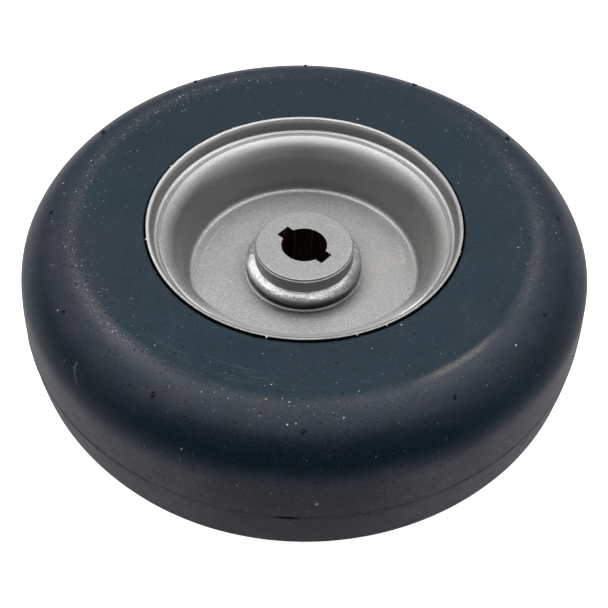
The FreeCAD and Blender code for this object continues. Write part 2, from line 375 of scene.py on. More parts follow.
    # pale dust grains: dense along the crease, sparse elsewhere
    zone = m.mul(ring_wide, m.math("MAXIMUM", m.math("MAXIMUM", left, m.mul(right, 0.75)), m.math("MAXIMUM", m.mul(low, 0.55), left_low)))
    clump = m.ramp(m.noise(0.11, 2.0, 0.5, off=44.0), 0.36, 0.62, 0.10, 1.0)
    zone = m.mul(m.mul(zone, clump), top)
    skirt = m.mul(m.ramp(zt, 22.0, 14.0), m.ramp(m.noise(0.09, 3.0, 0.6, off=144.0), 0.50, 0.68))
    zone = m.math("MAXIMUM", zone, m.mul(skirt, 0.50))
    g1, v1 = m.specks(2.3, 0.42, 0.95, off=3.0, mask=m.math("MULTIPLY_ADD", zone, 0.80, 0.10))
    g2, v2 = m.specks(4.6, 0.62, 0.90, off=19.0, mask=m.math("MULTIPLY_ADD", zone, 0.45, 0.16))
    g3, v3 = m.specks(1.25, 0.26, 0.90, off=9.0, mask=m.math("MULTIPLY_ADD", zone, 0.93, 0.05))
    grains = m.math("MAXIMUM", m.math("MAXIMUM", m.mul(g1, 0.75), g2), m.mul(g3, 0.62))
    tint = m.mix(m.mul(v2, v2), (0.14, 0.16, 0.17), (0.50, 0.50, 0.48))
    # black pits
    p1, _ = m.specks(2.9, 0.62, 0.36, off=61.0, soft=0.3)
    p2, _ = m.specks(1.8, 0.46, 0.60, off=83.0, soft=0.3)
    pits = m.math("MAXIMUM", p1, p2)
    # the seam: a thin broken line that wanders, with torn places
    seam_d = m.math("ABSOLUTE", m.add(m.add(z, 0.55), m.math("MULTIPLY_ADD", m.noise(0.07, 3.0, 0.6, off=401.0), 3.6, -1.8)))
    seam = m.mul(m.ramp(seam_d, 0.34, 0.10), m.ramp(m.noise(0.13, 3.0, 0.7, off=411.0), 0.52, 0.60))
    torn = m.mul(m.ramp(m.azdist(-70.0), 17.0, 6.0), m.ramp(seam_d, 0.75, 0.25))
    torn = m.mul(torn, m.ramp(m.noise(0.55, 3.0, 0.7, off=421.0), 0.50, 0.56))
    slit = m.mul(m.ramp(m.azdist(-92.2), 2.4, 0.9), m.ramp(m.math("ABSOLUTE", m.add(z, 0.85)), 0.72, 0.30))
    seam = m.math("MAXIMUM", m.mul(seam, 0.75), m.math("MAXIMUM", torn, slit))
    seam = m.mul(seam, m.ramp(r, 112.0, 114.0))
    base = m.mix(m.mul(pits, 0.92), base, (0.0016, 0.0020, 0.0026))
    base = m.mix(m.mul(seam, 0.95), base, (0.0010, 0.0010, 0.0012))
    # one short curved scratch low on the left
    sc_d = m.sub(m.math("DEGREES", az), SCRATCH[0])
    sc_u = m.mul(m.sub(m.mul(z, -1.0), -SCRATCH[1]), 0.196)
    sc_a = m.math("ABSOLUTE", m.sub(sc_d, m.mul(m.mul(sc_u, sc_u), 2.5)))
    sc = m.mul(m.ramp(sc_a, 0.42, 0.08), m.window(z, SCRATCH[1] - 2.6, 2.2, 0.8))
    base = m.mix(m.mul(sc, 0.60), base, (0.105, 0.110, 0.125))
    # thin scuffs
    wv = m.noise(1.0, 2.0, 0.5, vec=m.vscale(m.mm, 0.11, 0.02, 0.05), off=3.3, dist=0.8)
    scuff = m.ramp(m.math("ABSOLUTE", m.sub(wv, 0.5)), 0.0075, 0.0)
    scuff = m.mul(scuff, m.ramp(m.noise(0.05, 2.0, 0.5, off=205.0), 0.50, 0.64))
    base = m.mix(m.mul(scuff, 0.11), base, (0.10, 0.11, 0.12))
    base = m.mix(m.mul(grains, 0.95), base, tint)
    # faint rings of bloom lying along the near side face
    cx = m.nt.nodes.new("ShaderNodeCombineXYZ")
    m.put(cx.inputs[0], r); m.put(cx.inputs[1], m.mul(az, 7.0)); m.put(cx.inputs[2], m.mul(z, 0.3))
    rings = m.ramp(m.noise(0.75, 3.0, 0.65, vec=cx.outputs[0], off=501.0, dist=0.3), 0.58, 0.72)
    rings = m.mul(m.mul(rings, m.window(r, 86.5, 5.0, 3.0)), m.mul(top, m.ramp(m.azdist(-104.0), 38.0, 16.0)))
    base = m.mix(m.mul(rings, 0.42), base, (0.062, 0.070, 0.082))
    # painted shade: the edge down in the gap beside the steel made near-black
    gap = m.math("MAXIMUM", m.ramp(r, 65.75, 65.15), m.mul(m.ramp(r, 67.0, 66.0), m.ramp(zt, 33.6, 33.2)))
    base = m.mix(gap, base, (0.0010, 0.0010, 0.0012))
    m.put(m.bsdf.inputs["Base Color"], base)
    ro = m.math("MULTIPLY_ADD", m.noise(0.22, 4.0, 0.6, off=51.0), 0.16, RUB_ROUGH)
    ro = m.add(ro, m.mul(m.math("MAXIMUM", grains, tan), 0.30))
    ro = m.add(ro, m.mul(gap, 0.5))
    ro = m.math("MINIMUM", ro, 0.95)
    m.put(m.bsdf.inputs["Roughness"], ro)
    m.bsdf.inputs["Specular IOR Level"].default_value = RUB_SPEC
    h = m.math("MULTIPLY_ADD", m.noise(1.5, 5.0, 0.65, off=7.0), 0.5, m.mul(m.noise(0.35, 3.0, 0.6, off=17.0), 0.8))
    h = m.sub(h, m.mul(m.math("MAXIMUM", pits, seam), 1.5))
    h = m.add(h, m.mul(grains, 0.5))
    b = m.bump(h, 0.36, 0.00026)
    m.put(m.bsdf.inputs["Normal"], b)
    return m.m


def chip_material(name, a, b, rough, metal=0.0):
    """Small loose chips and stubs: mottled between two tones."""
    m = Mat(name)
    n = m.noise(0.8, 3.0, 0.6, off=13.0)
    m.put(m.bsdf.inputs["Base Color"], m.mix(m.ramp(n, 0.35, 0.65), a, b))
    m.put(m.bsdf.inputs["Roughness"], m.math("MULTIPLY_ADD", n, 0.2, rough))
    m.bsdf.inputs["Metallic"].default_value = metal
    m.bsdf.inputs["Specular IOR Level"].default_value = 0.25
    m.put(m.bsdf.inputs["Normal"], m.bump(m.noise(2.5, 3.0, 0.6), 0.4, 0.0002))
    return m.m


# ------------------------------------------------------------------ paint
def paint_material(kind):
    """Fine metallic silver paint. kind: dish, hub, weld."""
    m = Mat("silver_paint_" + kind)
    r, z, az = m.r, m.z, m.az
    cloud = m.noise(0.045, 3.0, 0.55, off=21.0)
    grain = m.noise(1.25, 2.0, 0.7)
    fd, fcol = m.voronoi(2.7, off=11.0)
    fs = m.nt.nodes.new("ShaderNodeSeparateColor"); m.nt.links.new(fcol, fs.inputs[0])
    flake = fs.outputs[0]
    base = m.mix(m.ramp(cloud, 0.3, 0.7), PAINT_A, PAINT_B)
    base = m.mix(m.ramp(grain, 0.35, 0.70, 0.0, 0.42), base, PAINT_DK)
    base = m.mix(m.ramp(flake, 0.35, 0.0, 0.0, 0.28), base, PAINT_DK)
    base = m.mix(m.ramp(flake, 0.60, 1.0, 0.0, 0.40), base, PAINT_LT)
    if kind == "dish":
        # a lighter, warmer tint in patches on one side of the floor
        warm = m.mul(m.ramp(m.azdist(15.0), 75.0, 20.0), m.ramp(m.noise(0.05, 2.0, 0.5, off=9.0), 0.35, 0.6))
        base = m.mix(m.mul(warm, 0.35), base, (0.335, 0.318, 0.300))
        # painted shade: the steep wall a little darker
        steep_wall_shade = m.mul(m.ramp(r, 48.6, 50.2), m.ramp(m.math("ABSOLUTE", z), 24.5, 20.0))
        base = m.mix(m.mul(steep_wall_shade, 0.10), base, (0.17, 0.17, 0.172))
        upz = m.math("ABSOLUTE", z)
        # painted highlight: the shoulder at the top of the far wall paler
        far_shoulder_light = m.mul(m.mul(m.ramp(r, 51.3, 53.0), m.ramp(r, 60.0, 59.0)), m.ramp(m.azdist(90.0), 58.0, 16.0))
        base = m.mix(m.mul(far_shoulder_light, 0.52), base, (0.46, 0.46, 0.462))
        # painted light: the far wall paler
        far_wall_light = m.mul(m.mul(m.ramp(r, 49.6, 50.4), m.ramp(upz, 25.0, 22.0)), m.ramp(m.azdist(90.0), 62.0, 25.0))
        base = m.mix(m.mul(far_wall_light, 0.45), base, (0.42, 0.42, 0.42))
        # painted shade: the left wall darker
        left_wall_shade = m.mul(m.mul(m.ramp(r, 49.6, 50.4), m.ramp(upz, 27.0, 23.0)), m.ramp(m.azdist(185.0), 50.0, 20.0))
        base = m.mix(m.mul(left_wall_shade, 0.28), base, (0.13, 0.13, 0.13))
        # painted light: the near shoulder made as pale as the floor beyond it
        near_shoulder_light = m.mul(m.mul(m.ramp(r, 52.2, 53.6), m.ramp(r, 60.0, 59.2)), m.ramp(m.azdist(-87.0), 54.0, 34.0))
        base = m.mix(m.mul(near_shoulder_light, 0.92), base, (0.56, 0.56, 0.558))
        # painted highlight: the ledge under the lip paler, most on the far side
        ledge_highlight = m.mul(m.mul(m.ramp(r, 60.2, 60.6), m.ramp(r, 61.75, 61.55)), m.ramp(upz, 28.4, 28.9))
        base = m.mix(m.mul(ledge_highlight, m.ramp(m.azdist(90.0), 105.0, 50.0, 0.06, 0.80)), base, (0.52, 0.52, 0.52))
        # painted highlight: the inside face of the turned lip paler towards its edge on the far side
        lip_face_highlight = m.mul(m.mul(m.ramp(r, 61.5, 61.8), m.ramp(r, 62.75, 62.6)), m.ramp(m.azdist(90.0), 82.0, 55.0))
        base = m.mix(m.mul(lip_face_highlight, m.ramp(upz, 30.2, 32.6, 0.0, 0.36)), base, (0.56, 0.56, 0.56))
        base = m.mix(m.mul(lip_face_highlight, m.ramp(upz, 32.9, 34.2, 0.0, 0.80)), base, (0.86, 0.86, 0.86))
        # painted highlight: the pale band at the top of the far wall widened to both sides
        far_band_light = m.mul(m.mul(m.ramp(r, 51.5, 52.6), m.ramp(r, 54.6, 53.2)), m.mul(m.ramp(m.azdist(90.0), 2.0, 11.0), m.ramp(m.azdist(90.0), 62.0, 35.0)))
        base = m.mix(m.mul(far_band_light, 0.55), base, (0.50, 0.50, 0.50))
        # painted highlight along the very edge of the lip, none on the near side
        lip_edge_highlight = m.mul(m.ramp(r, 62.9, 63.5), m.ramp(m.math("ABSOLUTE", z), 34.35, 34.75))
        base = m.mix(m.mul(m.mul(lip_edge_highlight, m.ramp(m.azdist(0.0), 30.0, 75.0, 0.10, 0.55)), m.ramp(m.azdist(-90.0), 35.0, 70.0, 0.0, 1.0)), base, (0.62, 0.62, 0.625))
        # painted shade: the outer flank of the lip, facing the rubber across the narrow gap, made black
        flank = m.mul(m.ramp(r, 64.05, 64.22), m.ramp(m.math("ABSOLUTE", z), 34.75, 34.45))
        base = m.mix(flank, base, (0.004, 0.004, 0.005))
        # faint wipe marks and a crescent left on the floor
        fl = m.ramp(m.math("ABSOLUTE", z), 6.2, 5.4)
        arc = m.mul(m.ramp(m.math("ABSOLUTE", m.sub(m.add(r, m.mul(m.noise(0.2, 2.0, 0.5, off=8.0), 4.0)), 45.5)), 0.7, 0.1), m.ramp(m.azdist(158.0), 20.0, 6.0))
        arc2 = m.mul(m.ramp(m.math("ABSOLUTE", m.sub(m.add(r, m.mul(m.noise(0.06, 2.0, 0.5, off=8.0), 5.0)), 46.3)), 2.2, 0.2), m.ramp(m.azdist(14.0), 13.0, 5.0))
        arc2 = m.mul(arc2, m.ramp(m.noise(0.7, 3.0, 0.7, off=88.0), 0.35, 0.70))
        arc = m.mul(arc, m.ramp(m.noise(0.45, 3.0, 0.7, off=98.0), 0.35, 0.62))
        base = m.mix(m.mul(m.math("MAXIMUM", arc, arc2), m.mul(fl, 0.60)), base, (0.47, 0.47, 0.465))
        smear = m.mul(m.ramp(m.noise(0.09, 3.0, 0.6, off=66.0), 0.52, 0.66), fl)
        base = m.mix(m.mul(smear, 0.22), base, (0.24, 0.24, 0.24))
        # grime in the ring round the weld, and a painted shadow cast from it towards the near side
        near = m.ramp(r, 33.0, 24.8)
        front = m.ramp(m.azdist(-75.0), 80.0, 25.0)
        base = m.mix(m.mul(near, m.math("MULTIPLY_ADD", front, 0.54, 0.20)), base, (0.070, 0.070, 0.072))
        # painted shadow: a darker ring just outside the ridge on the near side
        weld_shadow_near = m.mul(m.ramp(r, 29.5, 25.2), m.ramp(m.azdist(-84.0), 62.0, 20.0))
        base = m.mix(m.mul(weld_shadow_near, 0.62), base, (0.035, 0.035, 0.036))
        # the paint ridge standing round the run catches the light
        rim_l = m.ramp(m.math("ABSOLUTE", m.sub(r, 24.75)), 0.62, 0.15)
        base = m.mix(m.mul(m.mul(rim_l, fl), m.ramp(m.azdist(-125.0), 85.0, 45.0, 0.05, 0.46)), base, (0.56, 0.56, 0.56))
        d1, _ = m.specks(3.4, 0.34, 0.16, off=41.0, soft=0.5)
        d2, _ = m.specks(7.0, 0.55, 0.10, off=47.0, soft=0.5)
        base = m.mix(m.mul(m.math("MAXIMUM", d1, d2), 0.7), base, (0.07, 0.068, 0.066))
    if kind == "weld":
        # painted highlight on the run's crown, brightest towards the near left, and painted shade on its underside
        zt = m.math("ABSOLUTE", z)
        bead_highlight = m.mix(m.ramp(m.noise(1.9, 3.0, 0.7, off=29.0), 0.38, 0.66), (0.42, 0.42, 0.42), (0.85, 0.85, 0.85))
        lit = m.ramp(m.azdist(-106.0), 86.0, 58.0, 0.08, 0.92)
        base = m.mix(m.mul(m.ramp(zt, ZF + 3.4, ZF + 5.0), lit), base, bead_highlight)
        base = m.mix(m.mul(m.ramp(zt, ZF + 3.4, ZF + 5.0), m.ramp(m.azdist(-148.0), 38.0, 14.0, 0.0, 0.50)), base, (0.96, 0.96, 0.96))
        under = m.mul(m.ramp(zt, ZF + 3.2, ZF + 1.0), m.ramp(m.azdist(-30.0), 14.0, 42.0, 0.30, 0.80))
        base = m.mix(under, base, (0.075, 0.075, 0.075))
        d1, _ = m.specks(1.6, 0.30, 0.35, off=57.0, soft=0.5)
        base = m.mix(m.mul(d1, 0.55), base, (0.10, 0.10, 0.10))
    if kind == "hub":
        nor = m.nt.nodes.new("ShaderNodeNewGeometry")
        sep = m.nt.nodes.new("ShaderNodeSeparateXYZ")
        m.nt.links.new(nor.outputs["Normal"], sep.inputs[0])
        steep = m.ramp(m.math("ABSOLUTE", sep.outputs[2]), 0.75, 0.4)
        inside = m.mul(steep, m.ramp(r, 14.5, 13.5))
        lines = m.noise(1.0, 3.0, 0.6, vec=m.vscale(m.mm, 1.3, 1.3, 0.04), off=3.0)
        steel = m.mix(m.ramp(lines, 0.50, 0.72), (0.0040, 0.0020, 0.0014), (0.180, 0.066, 0.032))
        # painted shade: the steep outside wall of the hub darker
        hub_side_shade = m.mul(steep, m.ramp(r, 19.6, 20.3))
        base = m.mix(m.mul(hub_side_shade, 0.28), base, (0.12, 0.12, 0.12))
        base = m.mix(inside, base, steel)
        d1, _ = m.specks(2.2, 0.26, 0.34, off=43.0, soft=0.4)
        base = m.mix(m.mul(d1, 0.6), base, (0.09, 0.088, 0.086))
        metal = m.math("MULTIPLY_ADD", inside, -PAINT_METAL, PAINT_METAL)
        m.put(m.bsdf.inputs["Metallic"], metal)
    else:
        m.bsdf.inputs["Metallic"].default_value = PAINT_METAL
    m.put(m.bsdf.inputs["Base Color"], base)
    if kind == "weld":
        ro = m.math("MULTIPLY_ADD", m.noise(0.6, 3.0, 0.6, off=71.0), 0.20, 0.21)
        bm = m.math("MULTIPLY_ADD", m.noise(1.4, 4.0, 0.6, off=15.0), 1.0, m.mul(m.noise(3.4, 3.0, 0.6), 0.35))
        bm = m.mul(bm, m.ramp(m.math("ABSOLUTE", z), 9.4, 10.6, 0.10, 1.0))
        b = m.bump(bm, 0.50, 0.00060)
    else:
        ro = m.math("MULTIPLY_ADD", grain, 0.14, PAINT_ROUGH)
        if kind == "dish": ro = m.add(ro, m.mul(flank, 0.5))
        bm = m.math("MULTIPLY_ADD", m.noise(1.3, 4.0, 0.6, off=15.0), 0.8, m.mul(flake, 0.35))
        b = m.bump(bm, 0.26, 0.00020)
    m.put(m.bsdf.inputs["Roughness"], ro)
    m.put(m.bsdf.inputs["Normal"], b)
    return m.m


SIDE_A, SIDE_B, SIDE_DARK = (0.0050, 0.0215, 0.0355), (0.0090, 0.0260, 0.0405), (0.0040, 0.0115, 0.0200)
# the second tone here is painted light, for the paler crown on the near side
HAZE, CROWN_PAINTED_LIGHT = (0.0285, 0.0300, 0.0430), (0.1040, 0.0965, 0.1260)
RUB_SPEC, RUB_ROUGH = 0.16, 0.24
PAINT_A, PAINT_B, PAINT_DK, PAINT_LT = (0.272, 0.272, 0.273), (0.300, 0.298, 0.295), (0.170, 0.170, 0.171), (0.50, 0.50, 0.50)
PAINT_METAL, PAINT_ROUGH = 0.58, 0.30

SCRATCH = (-138.5, 29.5)              # azimuth, height
RUBBER = rubber_material()
CHIP_PALE = chip_material("dust_chip", (0.13, 0.14, 0.145), (0.60, 0.60, 0.58), 0.7)
CHIP_BROWN = chip_material("rust_chip", (0.36, 0.17, 0.09), (0.62, 0.36, 0.22), 0.7)
STUB = chip_material("rubber_stub", (0.0040, 0.0050, 0.0065), (0.0110, 0.0140, 0.0180), 0.45)
SPATTER = chip_material("paint_spatter", (0.42, 0.42, 0.42), (0.70, 0.70, 0.70), 0.2, 0.6)
PAINT_DISH = paint_material("dish")
PAINT_HUB = paint_material("hub")
PAINT_WELD = paint_material("weld")


# ------------------------------------------------------------------ tyre
def tyre_section():
    ang = math.asin(SH_Z / (CROWN - SH_RAD))
    cc = SH_R - (CROWN - SH_RAD) * math.cos(ang)
    dx, dz = MOUTH_R - SH_R, MOUTH_Z - SH_Z
    dist = math.hypot(dx, dz)
    tan_a = math.atan2(dz, dx) - math.acos(SH_RAD / dist)
    top_r = cc + CROWN
    crown_top = math.asin((SH_Z + SH_RAD * math.sin(ang)) / CROWN)
    segs = []
    # upper half, from the parting line up and in to the mouth of the lip gap
    a0 = math.asin(0.55 / CROWN)
    ridge = np.array([(top_r + 0.22, 0.0), (top_r + 0.20, 0.12), (top_r + 0.10, 0.26), (top_r + 0.01, 0.40)])
    segs.append(ridge)
    a1 = math.asin(2.6 / CROWN)
    segs.append(arc_pts((cc, 0), CROWN, a0, a1, 0.34))
    segs.append(arc_pts((cc, 0), CROWN, a1, crown_top, 1.35))
    segs.append(arc_pts((SH_R, SH_Z), SH_RAD, ang, tan_a, 1.2))
    tang = (SH_R + SH_RAD * math.cos(tan_a), SH_Z + SH_RAD * math.sin(tan_a))
    lp = rounded([tang, (MOUTH_R, MOUTH_Z), (MOUTH_R, 29.0), (62.0, 26.5), (54.6, 22.0), (52.0, 8.0), (52.0, 0.0)],
                 [0, 0.45, 0, 0, 3.0, 1.5, 0], [1.3, 0.8, 1.6, 2.5, 3.5, 3.0], arc_min=4)
    # corner: soft crease is left in the rounding below
    segs += lp
    up = sample_path(segs)
    low = up[::-1].copy(); low[:, 1] *= -1
    return np.array([q for q in up] + [q for q in low[1:-1]])


def build_tyre():
    P = tyre_section()
    if signed_area(P) < 0: P = P[::-1].copy()
    n = 432
    m = len(P)
    th = np.arange(n) / n * TAU
    TH = np.repeat(th[:, None], m, 1)
    R = np.repeat(P[None, :, 0], n, 0); Z = np.repeat(P[None, :, 1], n, 0)
    # outward section normals
    d = np.roll(P, -1, 0) - np.roll(P, 1, 0)
    nr, nz = d[:, 1], -d[:, 0]
    L = np.hypot(nr, nz); nr /= L; nz /= L
    outer = np.clip((P[:, 0] - 65.6) / 3.0, 0, 1)
    # slow unevenness of moulded rubber, always inward of the nominal skin
    wav = value_noise2(n, m, 14, 9, 5) * 0.10 + value_noise2(n, m, 40, 24, 6) * 0.035
    wav = wav - 0.14
    # soft crease: the side face is sunk a little just inside the crest
    R0, Z0 = P[:, 0], P[:, 1]
    top = np.abs(Z0) > 30
    crease = np.exp(-((R0 - 88.5) / 2.6) ** 2) * top * -0.22 + np.exp(-((R0 - 93.6) / 2.2) ** 2) * top * 0.10
    D = wav * outer[None, :] + crease[None, :] * (0.8 + 0.35 * smooth_noise_ring(n, 9, [(5, 0.7), (12, 0.4)], 1.0))[:, None]
    D = np.minimum(D, 0.0)
    # parting line: thin ridge of flash, uneven, missing in places, cut deeper in one
    para = np.exp(-(Z0 / 0.42) ** 2)
    flash = 0.02 + 0.12 * smooth_noise_ring(n, 21, [(30, 0.6), (80, 0.5)], 1.0)
    flash = np.clip(flash, -0.25, 0.13)
    D += para[None, :] * (flash - 0.10)[:, None] * (R0 > 100)[None, :]
    below = np.exp(-((Z0 + 0.75) / 0.35) ** 2) * (R0 > 100)
    # the seam below it: faint, open in a few places and torn in one at the near side
    deg = np.degrees(th)
    hit = lambda c, w: np.exp(-(((deg - c + 180.0) % 360.0 - 180.0) / w) ** 2)
    cut = 0.10 * np.clip(smooth_noise_ring(n, 22, [(9, 0.8), (35, 0.6)], 1.0), 0.0, 2.0)
    cut = cut + 1.05 * hit(267.8, 1.7) + 0.12 * hit(310.0, 14.0) + 0.08 * hit(222.0, 18.0)
    D += below[None, :] * (-np.clip(cut, 0.0, 1.2))[:, None]
    # the lower shoulder is a little fuller, most of all at the near right
    lean = 0.52 + 0.34 * np.cos(th - math.radians(-55.0))
    tilt = np.degrees(np.arctan2(-nz, nr))
    body = R0 > 92.0
    D += (np.exp(-((tilt - 40.0) / 20.0) ** 2) * (Z0 < -2.0) * body)[None, :] * lean[:, None]
    ragl = smooth_noise_ring(n, 41, [(60, 0.4), (150, 0.8), (210, 0.8)], 0.07)
    D += (np.exp(-((tilt - 46.0) / 10.0) ** 2) * (Z0 < -20.0) * body)[None, :] * ragl[:, None]
    # the wheel stands a little proud on the right flank
    proud = 0.90 * hit(352.0, 44.0) + 0.30 * hit(182.0, 25.0)
    D += ((np.exp(-((tilt + 22.0) / 14.0) ** 2) + 0.7 * np.exp(-((tilt - 19.0) / 13.0) ** 2)) * body)[None, :] * proud[:, None]
    D += 0.12 * hit(352.0, 50.0)[:, None] * (np.abs(Z0) < 20.0)[None, :] * body[None, :]
    R = R + nr[None, :] * D; Z = Z + nz[None, :] * D
    R = np.minimum(R, tyre_hi.x * 1000.0 - 0.06); Z = np.clip(Z, -tyre_hi.z * 1000.0 + 0.01, tyre_hi.z * 1000.0 - 0.01)
    # ragged mouth round the lip
    mouth = np.exp(-((P[:, 0] - MOUTH_R) / 0.55) ** 2) * (np.abs(P[:, 1]) > 29.5)
    rag = smooth_noise_ring(n, 31, [(18, 0.6), (60, 0.6), (130, 0.6)], 0.16)
    rag = np.clip(rag, -0.55, 0.50) - 0.5 * np.clip(smooth_noise_ring(n, 33, [(90, 1.0)], 1.0) - 1.9, 0, 0.6)
    R = R + mouth[None, :] * rag[:, None] * np.sign(P[:, 1])[None, :] ** 2
    V, F = ring_grid(R, Z, TH)
    ob = mesh_object("tyre_rubber", V, F)
    ob.data.materials.append(RUBBER)
    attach(ob, "root"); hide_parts("tyre")
    return ob


TYRE = build_tyre()


# ------------------------------------------------------------------ rim halves
def rim_section():
    s = (52.2 - 49.8) / (26.7 - 13.1)
    wall_r = lambda d: 52.2 - (d - 13.1) * s
    k = math.tan(math.radians(18.0))
    g_r, g_d = 58.80, 6.30                       # inner edge of the groove at the top of the dish
    sh = (g_d + k * (g_r - 52.2 - 13.1 * s)) / (1.0 - k * s)
    shr = wall_r(sh)
    face = [(62.75, Z_LIP), (61.98, Z_LIP - 2.3), (61.70, Z_LIP - LEDGE), (60.35, Z_LIP - LEDGE - 0.34), (59.62, Z_LIP - 6.50),
            (g_r, Z_LIP - g_d), (shr, Z_LIP - sh), (wall_r(FLOOR), ZF), (28.2, ZF), (20.85, ZF)]
    chain = [(64.3, Z_LIP - 2.5), (64.3, Z_LIP)] + face
    rad = [0, 0.20, 1.30, 3.0, 0.65, 0.40, 0.42, 0.35, 9.6, 2.7, 0, 0]
    steps = [0.9, 0.5, 0.4, 0.5, 0.35, 0.3, 0.2, 0.6, 1.3, 1.4, 0.19]
    top = rounded(chain, rad, steps, arc_min=5)
    back = [(20.85, ZF), (20.85, ZF - SHEET), (wall_r(FLOOR) + 1.2, ZF - SHEET), (shr + 2.0, Z_LIP - sh - 1.6),
            (60.4, Z_LIP - 8.4), (64.3, Z_LIP - 6.4), (64.3, Z_LIP - 2.5)]
    bk = rounded(back, [0, 0, 4.2, 6.0, 2.5, 1.0, 0], [1.0, 4.0, 3.0, 2.0, 1.5, 1.3], arc_min=4)
    return sample_path(top + bk)


def build_rim(name, node, sign, seed):
    P = rim_section()
    if signed_area(P) < 0: P = P[::-1].copy()
    n, m = 420, len(P)
    d = np.roll(P, -1, 0) - np.roll(P, 1, 0)
    nr, nz = d[:, 1], -d[:, 0]
    L = np.hypot(nr, nz); nr /= L; nz /= L
    th = np.arange(n) / n * TAU
    TH = np.repeat(th[:, None], m, 1)
    R = np.repeat(P[None, :, 0], n, 0); Z = np.repeat(P[None, :, 1], n, 0)
    show = (nz > -0.2) & (P[:, 1] > ZF - 0.3) & (P[:, 0] < 63.8)
    wav = value_noise2(n, m, 26, 16, seed) * 0.035 + value_noise2(n, m, 90, 40, seed + 1) * 0.012
    # paint bead standing round the weld
    fl = np.abs(P[:, 1] - ZF) < 0.05
    rr = P[:, 0]
    mid = 24.46 + 0.22 * np.sin(th) + smooth_noise_ring(n, seed + 15, [(5, 0.7), (16, 0.4)], 0.10)
    ridge = fl[None, :] * np.exp(-((rr[None, :] - mid[:, None]) / 0.27) ** 2)
    amp = 0.42 + 0.13 * smooth_noise_ring(n, seed + 5, [(9, 0.6), (30, 0.5), (70, 0.4)], 1.0)
    D = wav * show[None, :] + ridge * np.clip(amp, 0.12, 0.7)[:, None]
    # slight unevenness of the turned lip edge
    lip = np.exp(-((P[:, 1] - Z_LIP) / 0.5) ** 2) * (rr > 62)
    D = D - lip[None, :] * np.clip(0.03 + 0.05 * smooth_noise_ring(n, seed + 9, [(20, 0.6), (70, 0.5)], 1.0), 0.0, 0.2)[:, None]
    R = R + nr[None, :] * D; Z = Z + nz[None, :] * D
    Z = np.minimum(Z, Z_LIP)
    V, F = ring_grid(R, Z, TH)
    if sign < 0:
        V[:, 2] *= -1
        F = F[:, ::-1].copy()
    ob = mesh_object(name, V, F)
    ob.data.materials.append(PAINT_DISH)
    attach(ob, "root"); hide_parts(node)
    return ob


# finer samples across the paint bead round the weld
build_rim("rim_dish_upper", "rim_half_upper", 1, 101)
build_rim("rim_dish_lower", "rim_half_lower", -1, 151)


# ------------------------------------------------------------------ hub
def key_radius(t):
    """Radius of the bore outline at azimuth t."""
    a = (t - KEY_ANG + math.pi / 2) % math.pi - math.pi / 2
    w, h = KEY_W / 2, KEY_ACROSS / 2
    ca, sa = abs(math.cos(a)), abs(math.sin(a))
    rk = min(h / ca if ca > 1e-9 else 1e9, w / sa if sa > 1e-9 else 1e9)
    return max(BORE_R, rk)


def build_hub():
    base = list(np.arange(288) / 288 * TAU)
    corner = []
    w, h = KEY_W / 2, KEY_ACROSS / 2
    for k in (0.0, math.pi):
        for sg in (-1, 1):
            for (cx, cy) in ((h, sg * w), (math.sqrt(BORE_R ** 2 - w * w), sg * w)):
                t0 = math.atan2(cy, cx)
                for e in (-0.0045, -0.0012, 0.0, 0.0012, 0.0045):
                    corner.append((t0 + e + KEY_ANG + k) % TAU)
    base = [t for t in base if min(abs((t - c + math.pi) % TAU - math.pi) for c in corner) > 0.006]
    T = np.array(sorted(base + corner))
    n = len(T)
    rin = np.array([key_radius(t) for t in T])
    H = HUB_H
    cr, cz = 0.6, 1.2
    # section stations from the bottom inside, up, across the face, down the outside
    st = []
    def inner(off, z): st.append(("i", off, z))
    def blend(f, z): st.append(("b", f, z))
    def outer(r, z): st.append(("o", r, z))
    for z in np.linspace(-H + 0.18, H - 0.18, 26): inner(0.0, z)
    inner(0.05, H - 0.05); inner(0.18, H)
    for f in (0.02, 0.08, 0.2, 0.4, 0.6, 0.8, 0.95): blend(f, H)
    # turned edge: a small drop, then a narrow bright ledge before the side
    edge = [(-0.70, 0.0), (-0.62, 0.05), (-0.58, 0.14), (-0.55, 0.62), (-0.50, 0.80), (-0.40, 0.86), (-0.20, 0.90), (-0.08, 0.97), (-0.02, 1.10), (0.0, 1.35)]
    for dr, dz in edge: outer(HUB_R + dr, H - dz)
    for z in np.linspace(H - 1.7, -(H - 1.7), 26): outer(HUB_R, z)
    for dr, dz in edge[::-1]: outer(HUB_R + dr, -(H - dz))
    for f in (0.95, 0.8, 0.6, 0.4, 0.2, 0.08, 0.02): blend(f, -H)
    inner(0.18, -H); inner(0.05, -H + 0.05)
    m = len(st)
    R = np.zeros((n, m)); Z = np.zeros((n, m))
    ra = HUB_R - 0.70
    for j, (kind, a, z) in enumerate(st):
        if kind == "i": R[:, j] = rin + a
        elif kind == "b": R[:, j] = (rin + 0.18) * (1 - a) + ra * a
        else: R[:, j] = a
        Z[:, j] = z
    TH = np.repeat(T[:, None], m, 1)
    wob = value_noise2(n, m, 60, 30, 71) * 0.008
    mask = np.array([1.0 if k == "o" and abs(z) < H - 2.0 else 0.0 for k, a, z in st])
    R = R + wob * mask[None, :] - mask[None, :] * 0.01
    V, F = ring_grid(R, Z, TH)
    F = F[:, ::-1].copy()
    ob = mesh_object("hub_tube", V, F)
    ob.data.materials.append(PAINT_HUB)
    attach(ob, "root"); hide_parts("hub")
    return ob


HUB = build_hub()


